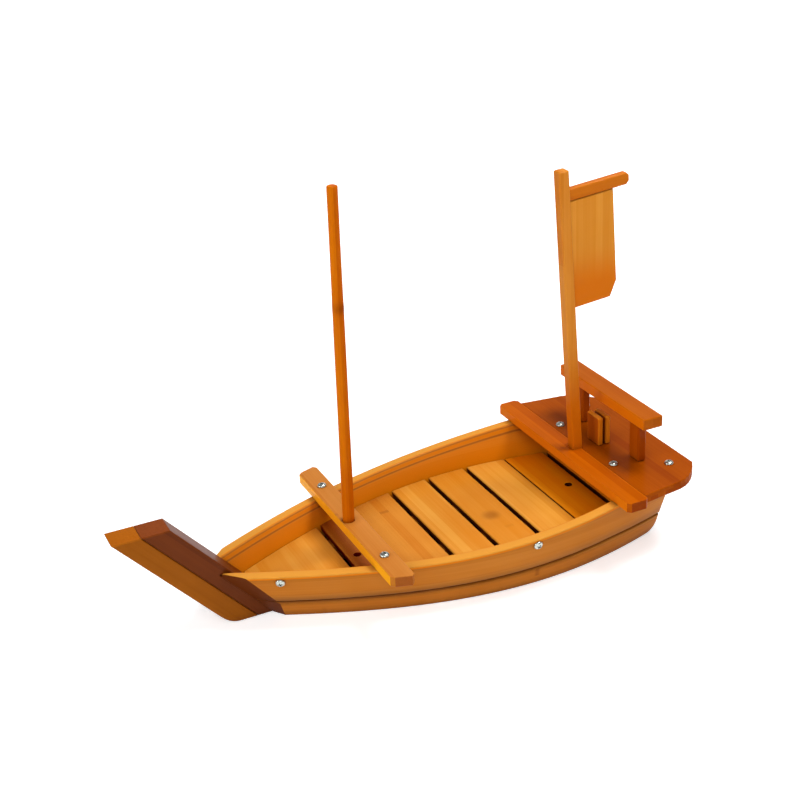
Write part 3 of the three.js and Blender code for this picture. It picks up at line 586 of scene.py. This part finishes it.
def plan_curve(t, stern_half, after_pull, fore_pull, bow_x):
    """A cubic curve in plan: four points weighted by the powers of t and of what is left of t."""
    points = np.array([[STERN_X, stern_half], [STERN_X + after_pull[0], after_pull[1]],
                       [bow_x - fore_pull[0], fore_pull[1]], [bow_x, PLANK_END]])
    left = 1 - t
    weights = np.stack([left ** 3, 3 * left ** 2 * t, 3 * left * t ** 2, t ** 3], -1)
    return weights @ points


def rim_plan(t):
    """The outer edge of the rim: a plan curve that ends beside the stem at the rim's height."""
    return plan_curve(t, *RIM_PULLS, stem_after_face(RIM_FORE) + PLANK_LAP)


def foot_plan(t):
    """The outer edge of the foot: a plan curve that ends beside the stem at the ground."""
    return plan_curve(t, *FOOT_PULLS, stem_after_face(0) + PLANK_LAP)


def rim_height(t):
    """Level forward, then rising with the square of the way aft, and level again under the stern deck."""
    share = np.clip((SHEER_START - rim_plan(t)[..., 0]) / (SHEER_START - SHEER_END), 0, 1)
    return RIM_FORE + (RIM_AFT - RIM_FORE) * share ** 2


def side_plan(t, z):
    """Where the outside of the side is at a height: between foot and rim by the share of the rim's height."""
    share = (z / rim_height(t))[..., None]
    return (1 - share) * foot_plan(t) + share * rim_plan(t)


def side_point(t, z, depth):
    """A point at a depth inside the side: the outside moved to the middle by the depth, more where the side slants.

    Beside the stem the inside stops a gap away from the stem's own face.
    """
    here, ahead, behind = side_plan(t, z), side_plan(t + SMALL_STEP, z), side_plan(t - SMALL_STEP, z)
    slope = (ahead - behind)[..., 1] / (ahead - behind)[..., 0]
    half = here[..., 1] - depth * np.hypot(1, slope)
    beside_stem = here[..., 0] > stem_after_face(z) - STEM_GAP
    half = np.where(beside_stem, np.maximum(half, STEM_HALF + STEM_GAP), half)
    return np.stack([here[..., 0], half, z], -1)


MIDDLE = np.array([0.5])
print("half-breadth amidships, foot and rim:", foot_plan(MIDDLE).round(1), rim_plan(MIDDLE).round(1))

# %% [markdown]
# Each plank is a rounded section carried along the side: the upper one wide, the lower one narrow, with a groove
# between them.
#
# The section could be swept with a curve object. Carried one by one it can also write down, for every point, how far
# it lies along the plank, up it and into it, and the grain then bends with the plank.

# %% Sections of the planks
PLANK, GROOVE, ROUND, FOOT_ROUND, HEEL, HALF_GAP = 8.0, 1.3, 1.1, 0.7, 8.0, 0.15
SEAM_FORE, SLANT_LENGTH, SIDE_LENGTH = 13.9, 13.5, 377
HEEL_PART, HEEL_STEPS, LONG_STEPS, ROUND_STEPS, LOW_STEPS = 0.04, 14, 150, 5, 5
END_SLANT = SLANT_LENGTH / SIDE_LENGTH
STATIONS = np.concatenate([np.linspace(0, HEEL_PART, HEEL_STEPS)[:-1], np.linspace(HEEL_PART, 1, LONG_STEPS)])
QUARTER_TURN = np.linspace(0, math.pi / 2, ROUND_STEPS)
RIM_SHADE, EDGE_SHADE, EDGE_GAIN = -0.8, -0.75, 1.2
FOOT_SHADE, SEAM_SHADE, INNER_SHADE = 0.3, 0.5, 0.6
# rows of height share and darkness: above nought the groove and painted shade, below it painted light and sheen
OUTSIDE_ROWS = np.array([[0, 0.5], [0.3, 0], [0.6, 0], [0.86, 0.1], [0.92, 0.22], [0.95, -0.5], [1, -0.7]])
INSIDE_ROWS = np.array([[0.97, -0.45], [0.9, -0.4], [0.875, 0.55], [0.85, 0.5], [0.82, -0.3], [0.5, -0.5],
                        [0.25, -0.6], [0, 0.6]])


def seam_height(t):
    """The seam keeps its share of the rim's height."""
    return SEAM_FORE * rim_height(t) / RIM_FORE


def upper_section():
    """Rows of height share, extra height, depth and darkness, up the outside, over the rim, down the inside.

    Darkness below nought is a brighter tone: on the rim a paler one, rubbed down and with a painted sheen, and on
    the inside a stronger orange, which is painted light. Above nought, besides the groove, it is painted shade: a
    band under the rim outside and inside, and low on the inside.
    """
    up, outer_dark = OUTSIDE_ROWS.T
    down, inner_dark = INSIDE_ROWS.T
    sine, cosine, one = np.sin(QUARTER_TURN), np.cos(QUARTER_TURN), np.ones(len(QUARTER_TURN))
    return np.concatenate([
        np.stack([up, GROOVE - (GROOVE + ROUND) * up, 0 * up, outer_dark], -1),
        np.stack([one, ROUND * (sine - 1), ROUND * (1 - cosine), RIM_SHADE * one], -1)[1:],
        np.stack([one, ROUND * (cosine - 1), PLANK + ROUND * (sine - 1), EDGE_GAIN * sine + EDGE_SHADE], -1),
        np.stack([down, -ROUND * down, 0 * down + PLANK, inner_dark], -1),
        [[0, 0, GROOVE, 1]],
    ])


def lower_section():
    """The same rows for the lower plank: rounded foot, outside, groove, top edge, and down the inside."""
    up = np.linspace(0, 1, LOW_STEPS)
    sine, cosine, zero = np.sin(QUARTER_TURN), np.cos(QUARTER_TURN), np.zeros(len(QUARTER_TURN))
    return np.concatenate([
        np.stack([zero, FOOT_ROUND * (1 - cosine), FOOT_ROUND * (1 - sine), FOOT_SHADE + zero], -1)[:-1],
        np.stack([up, FOOT_ROUND - (FOOT_ROUND + GROOVE) * up, 0 * up, SEAM_SHADE * (up == 1)], -1),
        [[1, 0, GROOVE, 1], [1, 0, PLANK, INNER_SHADE], [0, 0, PLANK, FOOT_SHADE]],
    ])


def heel_lift(x):
    """How high the round at the foot of the after end has cut: a quarter circle, nought once past it."""
    inside = np.clip(HEEL - (x - STERN_X), 0, HEEL)
    return HEEL - np.sqrt(HEEL ** 2 - inside ** 2)


def plank_points(section, low, high, side, foot_slant):
    """Carries a section along the side, and keeps for each point how far along, up and into the plank it lies.

    The outside ends a little short of the bow, which slants the plank's end. The slant at the plank's foot is a
    share of the slant at its top.
    """
    share, extra, depth, dark = section.T
    slant = END_SLANT * (foot_slant + (1 - foot_slant) * share)
    t = STATIONS[:, None] * (1 - slant * (1 - depth / PLANK))
    height = high(t) - low(t)
    z = low(t) + share * height + extra
    lift = heel_lift(side_plan(t, z)[..., 0])
    z = np.where(low(t) > 0, z, lift + z * (1 - lift / height))
    points = side_point(t, z, depth + 0 * t)
    middle = side_plan(STATIONS, 0.5 * rim_height(STATIONS))
    steps = np.hypot(*np.diff(middle, axis=0).T)
    along = np.concatenate([[0], np.cumsum(steps)])[:, None] + 0 * z
    grain = np.stack([along, z, depth + 0 * z], -1)
    return points * [1, side, 1], grain, dark + 0 * z


print("rows in the upper and the lower section:", len(upper_section()), len(lower_section()))

# %% [markdown]
# A carried section becomes a mesh by joining each ring of points to the next and closing both ends.
#
# Blender could recalculate the normals afterwards. Here the sign of the enclosed volume says whether the faces have
# to be turned, and the same mesh maker also serves the mast and the screws.

# %% Mesh from rings
SOFT_CORNER = math.radians(40)
AFT_STARTS, AFT_SPAN = 0.4, 0.3
TINY = 1e-9


def add_attribute(mesh, name, kind, domain, key, values):
    """Writes one number or vector for every point or face."""
    layer = mesh.attributes.new(name, kind, domain)
    layer.data.foreach_set(key, values.reshape(-1).astype(np.float32))


def carried_mesh(name, points, finish, grain=None, dark=None):
    """Skins rings of points, closes both ends, turns the faces outwards and rounds the shading of soft corners.

    The points are an array of ring, corner and XYZ in millimetres. Each face joins a corner and the next one on a
    ring with the same two on the next ring. The two closing faces, and those that face aft, are end grain.
    """
    rings, corners = points.shape[:2]
    index = np.arange(rings * corners).reshape(rings, corners)
    after = np.roll(index, -1, axis=1)
    quads = np.stack([index[:-1], after[:-1], after[1:], index[1:]], -1).reshape(-1, 4)
    flat = points.reshape(-1, 3)
    a, b, c, d = (flat[quads[:, k]] for k in range(4))
    volume = np.einsum("ij,ij->", a, np.cross(b, c)) + np.einsum("ij,ij->", a, np.cross(c, d))
    faces = quads.tolist() + [index[0, ::-1].tolist(), index[-1].tolist()]
    if volume < 0:
        faces = [face[::-1] for face in faces]
    mesh = bpy.data.meshes.new(name)
    mesh.from_pydata((flat * MM).tolist(), [], faces)
    if grain is not None:
        add_attribute(mesh, "grain", "FLOAT_VECTOR", "POINT", "vector", grain * MM)
    if dark is not None:
        add_attribute(mesh, "dark", "FLOAT", "POINT", "value", dark)
    normals = np.cross(c - a, d - b) * np.sign(volume)
    facing_aft = -normals[:, 0] / np.maximum(np.linalg.norm(normals, axis=1), TINY)
    ends = np.append(np.clip((facing_aft - AFT_STARTS) / AFT_SPAN, 0, 1), [1, 1])
    add_attribute(mesh, "end_grain", "FLOAT", "FACE", "value", ends)
    mesh.shade_smooth()
    mesh.set_sharp_from_angle(angle=SOFT_CORNER)
    mesh.polygons.foreach_set("use_smooth", np.append(np.ones(len(quads), bool), [False, False]))
    mesh.materials.append(finish)
    piece = bpy.data.objects.new(name, mesh)
    bpy.context.scene.collection.objects.link(piece)
    return piece


print("corners sharper than", round(math.degrees(SOFT_CORNER)), "degrees stay sharp")

# %% [markdown]
# With the surface, the sections and the mesh maker at hand, the four planks are made in one loop.
#
# The starboard planks could be mirrored copies. A mirror turns a mesh inside out, so here the points themselves
# change sides before the mesh is made. The inside gets a stronger orange, which is painted light, and the rim is
# rubbed down and given a painted sheen.

# %% Bent planks
# The upper planks' wider corner darkening paints the thwarts' shadow on the inner walls.
CORNER_SHADE_REACH = {"upper": 0.02, "lower": 0.006}
FOOT_SLANT = {"upper": 1.0, "lower": 0.5}


def ground(t):
    """The foot of the lower plank, at no height."""
    return 0 * t


def seam_above(t):
    """The lower edge of the upper plank: half the gap over the seam."""
    return seam_height(t) + HALF_GAP


def seam_below(t):
    """The upper edge of the lower plank: half the gap under the seam."""
    return seam_height(t) - HALF_GAP


plank_finish = {
    row: bamboo_finish(f"{row}_planks", (216, 138, 52), (194, 112, 30), (70, 26, 0), attribute="grain", groove="dark",
                       painted_inner_light=(227, 125, 0), bare_and_sheen=(222, 149, 54), ends=(108, 50, 16), shade_reach=shade_reach, gloss=0.05)
    for row, shade_reach in CORNER_SHADE_REACH.items()
}
PLANK_ROWS = (("upper", upper_section(), seam_above, rim_height), ("lower", lower_section(), ground, seam_below))
for side_name, side in (("port", 1), ("starboard", -1)):
    for row, section, low, high in PLANK_ROWS:
        points, grain, dark = plank_points(section, low, high, side, FOOT_SLANT[row])
        plank = carried_mesh(f"{side_name}_{row}_plank", points, plank_finish[row], grain, dark)
        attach(plank, "hull")
        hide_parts(f"{side_name}_{row}_strake")
        print(plank.name, "faces:", len(plank.data.polygons))

# %% [markdown]
# The front mast is a thin cane, turned round but not quite even, with the swelling of one node left in it.
#
# A cylinder would look like plastic tube. A circle carried up a leaning axis can swell at the node, taper to the
# top and waver a little on the way.

# %% Front mast
MAST_PIVOT = np.array([37.7, 0.0, 43.6])
MAST_LEAN = math.radians(-1.5)
MAST_LOW, MAST_HIGH, MAST_CORNERS = -3.7, 237.4, 40
FOOT_RADIUS, TOP_RADIUS, END_ROUND = 4.1, 3.5, 0.7
NODE_AT, NODE_SWELL, NODE_LENGTH = 158.0, 0.14, 3.0
WAVER, WAVER_LENGTH = 0.05, 17.0
RING_DARK, RING_LENGTH, RING_TURN = 0.7, 4.0, 2.2
FOOT_DARK, FOOT_AT, FOOT_LENGTH = 0.5, 3.7, 2.0
RING_EVEN, RING_UNEVEN = 0.55, 0.45
GRAIN_START, GRAIN_ASIDE = 30, 40
FOOT_STEPS, CANE_STEPS, TOP_STEPS = np.array([0, 0.25, 0.7]), 160, np.array([0.8, 0.3, 0])


def bell(value, middle, width):
    """One at the middle, falling off with the square of the distance in widths."""
    return np.exp(-((value - middle) / width) ** 2)


def cane_points():
    """A circle at every step of the axis: its radius tapers, swells at the node and wavers by a slow sine."""
    top = MAST_HIGH - TOP_STEPS
    up = np.concatenate([MAST_LOW + FOOT_STEPS, np.linspace(0, top[0], CANE_STEPS), top[1:]])
    to_end = np.minimum(up - MAST_LOW, MAST_HIGH - up)
    taper = np.interp(up, [MAST_LOW, MAST_HIGH], [FOOT_RADIUS, TOP_RADIUS])
    swell = NODE_SWELL * bell(up, NODE_AT, NODE_LENGTH)
    rounding = END_ROUND * np.clip(1 - to_end / END_ROUND, 0, 1) ** 2
    radius = taper + swell + WAVER * np.sin(up / WAVER_LENGTH) - rounding
    turn = np.linspace(0, 2 * math.pi, MAST_CORNERS, endpoint=False)
    x = radius[:, None] * np.cos(turn)
    y = radius[:, None] * np.sin(turn)
    z = up[:, None] + 0 * x
    grain = np.stack([z + GRAIN_START, x + GRAIN_ASIDE, y], -1)
    ring = RING_DARK * bell(z, NODE_AT, RING_LENGTH) * (RING_EVEN + RING_UNEVEN * np.cos(turn - RING_TURN))
    foot = FOOT_DARK * bell(z, FOOT_AT, FOOT_LENGTH)
    lean = np.array([[math.cos(MAST_LEAN), 0, math.sin(MAST_LEAN)], [0, 1, 0],
                     [-math.sin(MAST_LEAN), 0, math.cos(MAST_LEAN)]])
    return np.stack([x, y, z], -1) @ lean.T + MAST_PIVOT, grain, np.maximum(ring, foot)


cane_finish = bamboo_finish("cane_mast", (226, 126, 6), (186, 82, 0), (96, 34, 0), attribute="grain", groove="dark",
                            gloss=0.03)
cane, cane_grain, cane_dark = cane_points()
mast = carried_mesh("cane_mast", cane, cane_finish, cane_grain, cane_dark)
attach(mast, "front_mast_set")
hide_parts("front_mast")
print("mast top:", cane[..., 2].max().round(1), "mm")

# %% [markdown]
# The screws are domed, bright and cross-slotted.
#
# A cut would leave ragged edges in so small a dome. Instead the dome's height is lowered inside a cross, with a
# soft slope at the edge of the cross, and the whole screw is one grid of circles.

# %% Screw shape and finish
HEAD_RADIUS, HEAD_HEIGHT, HEAD_RIM = 3.2, 2.1, 0.2
SHANK_RADIUS, POINT_RADIUS, POINT_LENGTH = 1.3, 0.5, 0.6
CROSS_HALF, CROSS_REACH, CROSS_DEPTH, CROSS_SLOPE = 0.32, 1.55, 0.95, 0.2
SCREW_CORNERS, DOME_STEPS, HUB_RADIUS, FIRST_RADIUS = 72, 30, 0.04, 0.15
STEEL_TONES, RECESS_SHADE_TONE = ((0.42, 0.46, 0.42, 1), (0.58, 0.62, 0.57, 1)), (0.12, 0.12, 0.11, 1)
STEEL_CLOUD, STEEL_ROUGH_LEAST, STEEL_ROUGH_GAIN = 900.0, 0.2, 0.16
RECESS_REACH, RECESS_FULL, RECESS_ENDS = 0.0012, 0.25, 0.85


def chrome_finish():
    """Bright metal between two greys by a fine cloud, with painted shade where the cross closes in."""
    made = Finish("bright_screw")
    cloud = made.noise(made.object_place(), STEEL_CLOUD, 3.0)
    corner = made.add("AmbientOcclusion", {"Distance": RECESS_REACH}, samples=CORNER_RAYS).outputs["AO"]
    open_share = made.ramp(corner, RECESS_FULL, RECESS_ENDS)
    colour = made.blend(open_share, RECESS_SHADE_TONE, made.blend(cloud, *STEEL_TONES))
    rough = made.math("MULTIPLY_ADD", cloud, STEEL_ROUGH_GAIN, STEEL_ROUGH_LEAST)
    shader = made.add("BsdfPrincipled", {"Base Color": colour, "Metallic": 1.0, "Roughness": rough})
    return made.close(shader.outputs[0])


def smooth_edge(distance, edge):
    """One inside the edge and nought outside, with an S-shaped slope across it."""
    share = np.clip((edge + CROSS_SLOPE / 2 - distance) / CROSS_SLOPE, 0, 1)
    return share * share * (3 - 2 * share)


def screw_points(length, turn):
    """Circles from the middle of the dome out, under the head and down the shank. The cross lowers the dome.

    The dome rises over its rim by the root of one less the square of the share of the radius.
    """
    out = np.concatenate([[HUB_RADIUS], np.linspace(FIRST_RADIUS, HEAD_RADIUS, DOME_STEPS)])
    angle = np.linspace(0, 2 * math.pi, SCREW_CORNERS, endpoint=False)
    x = out[:, None] * np.cos(angle)
    y = out[:, None] * np.sin(angle)
    u, v = np.abs(x * math.cos(turn) + y * math.sin(turn)), np.abs(y * math.cos(turn) - x * math.sin(turn))
    cross = np.maximum(smooth_edge(u, CROSS_HALF) * smooth_edge(v, CROSS_REACH),
                       smooth_edge(v, CROSS_HALF) * smooth_edge(u, CROSS_REACH))
    bulge = np.sqrt(np.clip(1 - (out / HEAD_RADIUS) ** 2, 0, 1))[:, None]
    dome = HEAD_RIM + (HEAD_HEIGHT - HEAD_RIM) * bulge
    head = np.stack([x, y, dome - CROSS_DEPTH * cross], -1)
    below = np.array([[HEAD_RADIUS, 0], [SHANK_RADIUS, 0], [SHANK_RADIUS, POINT_LENGTH - length],
                      [POINT_RADIUS, -length]])
    ring = np.stack([np.cos(angle), np.sin(angle)], -1)
    shank = np.concatenate([below[:, None, :1] * ring, below[:, None, 1:] + 0 * ring[..., :1]], -1)
    return np.concatenate([head, shank])


screw_finish = chrome_finish()
print("circles in a screw:", len(screw_points(1.0, 0.0)))

# %% [markdown]
# Ten screws hold the boat together: upright ones in the front thwart and the stern deck, level ones in the sides.
#
# Each could be placed by numbers of its own. An upright screw is placed by the box of the CAD screw that it stands
# for, and a screw in the side by the surface of the side itself, so that its head lies flat on the plank.

# %% Screws
DECK_SCREW_LENGTH, SIDE_SCREW_LENGTH = 13.6, 5.8
SIDE_SCREW_DROP, SIDE_SCREW_PROUD = 5.2, 0.2
SIDE_SCREWS = {"bow": 100.0, "waist": -64.9}
TURN_STEP, SEARCH_STEPS, STEP_AHEAD = 0.7, 2001, 0.003


def placed(points, place, outward):
    """Turns the screw's own axis to the outward direction and moves its seat to the place."""
    outward = np.asarray(outward, float) / np.linalg.norm(outward)
    across = np.cross([0.0, 1.0, 0.0] if abs(outward[1]) < 0.5 else [1.0, 0.0, 0.0], outward)
    across /= np.linalg.norm(across)
    return points @ np.stack([across, np.cross(outward, across), outward]) + np.asarray(place)


def deck_screw_spot(node):
    """A screw that stands upright: over the middle of its node's box, its seat a head's height under the top."""
    low, high = (np.array(corner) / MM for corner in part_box(node))
    return [(low[0] + high[0]) / 2, (low[1] + high[1]) / 2, high[2] - HEAD_HEIGHT], [0, 0, 1]


def side_screw_spot(x, side):
    """A screw in the side: at a place along the boat and a little under the rim, square to the plank.

    Its outward direction is the cross product of a small step up the side and one along it.
    """
    t = np.linspace(0, 1, SEARCH_STEPS)
    z = np.interp(x, rim_plan(t)[:, 0], rim_height(t)) - SIDE_SCREW_DROP
    at = np.interp(x, side_plan(t, z + 0 * t)[:, 0], t)
    spots = side_plan(np.array([at, at + STEP_AHEAD, at]), np.array([z, z, z + 1]))
    along = np.append(spots[1] - spots[0], 0)
    upward = np.append(spots[2] - spots[0], 1)
    outward = np.cross(upward, along)
    outward /= np.linalg.norm(outward)
    place = np.append(spots[0], z) + SIDE_SCREW_PROUD * outward
    return place * [1, side, 1], outward * [1, side, 1]


SCREW_SPOTS = {}
for side_name, side in (("port", 1), ("starboard", -1)):
    for node in ("front_thwart_screw_", "stern_deck_front_screw_", "stern_deck_back_screw_"):
        SCREW_SPOTS[node + side_name] = (*deck_screw_spot(node + side_name), DECK_SCREW_LENGTH)
    for where, x in SIDE_SCREWS.items():
        SCREW_SPOTS[f"{side_name}_side_screw_{where}"] = (*side_screw_spot(x, side), SIDE_SCREW_LENGTH)

for count, (node, (place, outward, length)) in enumerate(SCREW_SPOTS.items()):
    points = placed(screw_points(length, TURN_STEP * count), place, outward)
    screw = carried_mesh(f"{node}_dome", points, screw_finish)
    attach(screw, "hull")
    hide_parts(node)
print("screws:", len(SCREW_SPOTS))
